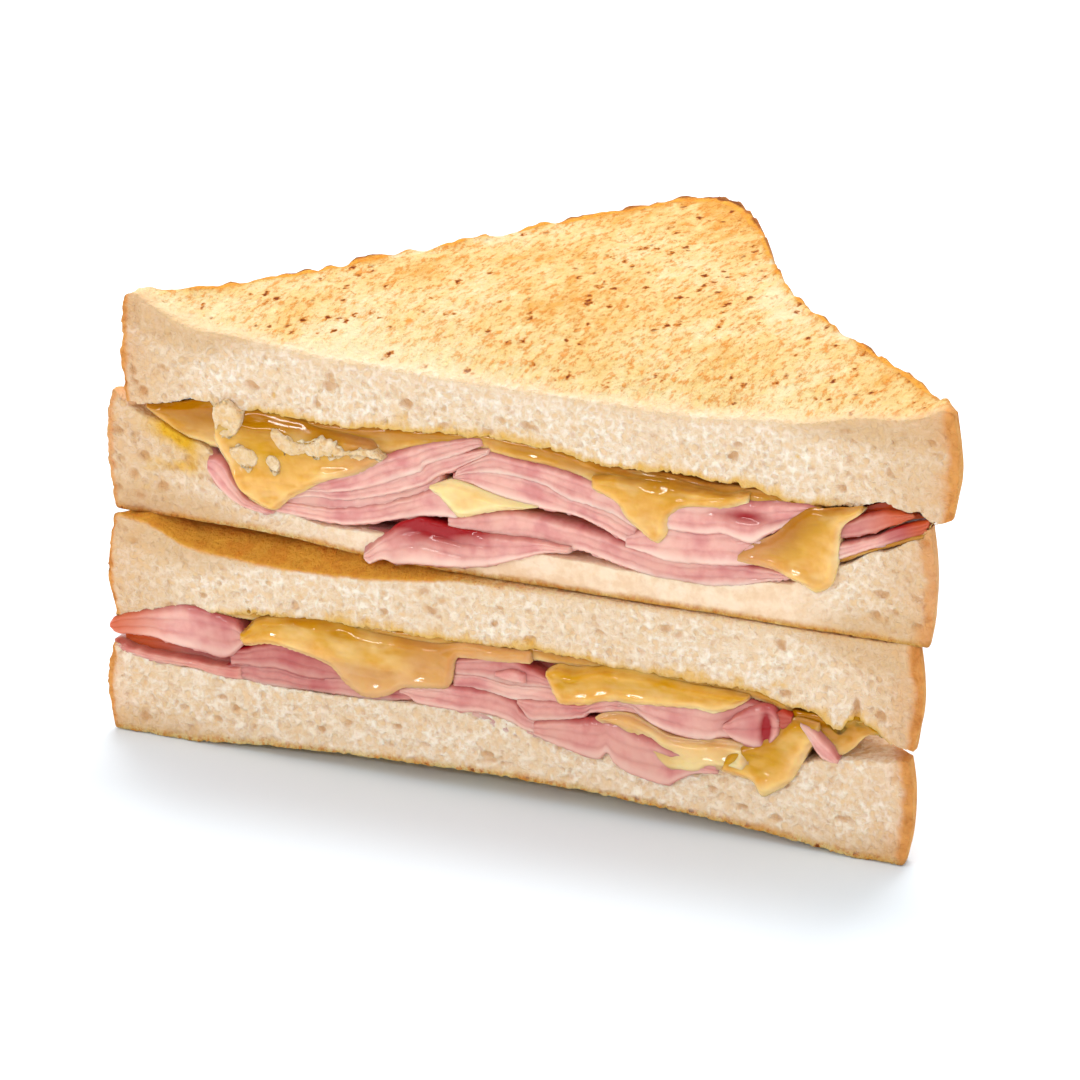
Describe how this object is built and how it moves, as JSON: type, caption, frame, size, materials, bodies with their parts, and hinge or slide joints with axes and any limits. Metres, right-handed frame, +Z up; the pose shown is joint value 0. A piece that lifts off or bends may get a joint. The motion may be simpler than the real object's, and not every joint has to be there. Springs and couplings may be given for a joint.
{
  "type": "toasted ham and cheese sandwich",
  "caption": "Toasted ham and melted cheese sandwich of thick white bread, cut corner to corner, its triangular halves stacked with the cut faces to the front.",
  "frame": {"origin": "middle of the stack's bounding box, on the surface it rests on", "axes": "+Z up; the cut runs along +X, from left to right; the cut faces look to -Y and the far corner of the bread points to +Y"},
  "size_m": [0.1536, 0.0946, 0.0796],
  "materials": {
    "toasted_bread": "matte, open crumb on the cut, toasted on the outside",
    "ham": "moist satin",
    "melted_cheese": "glossy, slightly translucent"
  },
  "bodies": {
    "root": {"upper_bread_top": "toasted_bread", "upper_cheese_top": "melted_cheese", "upper_ham_1": "ham", "upper_ham_2": "ham", "upper_cheese_middle": "melted_cheese", "upper_ham_3": "ham", "upper_ham_4": "ham", "upper_bread_bottom": "toasted_bread", "lower_bread_top": "toasted_bread", "lower_cheese_top": "melted_cheese", "lower_ham_1": "ham", "lower_cheese_middle": "melted_cheese", "lower_ham_2": "ham", "lower_ham_3": "ham", "lower_ham_4": "ham", "lower_ham_sliver": "ham", "lower_bread_bottom": "toasted_bread"}
  },
  "joints": []
}
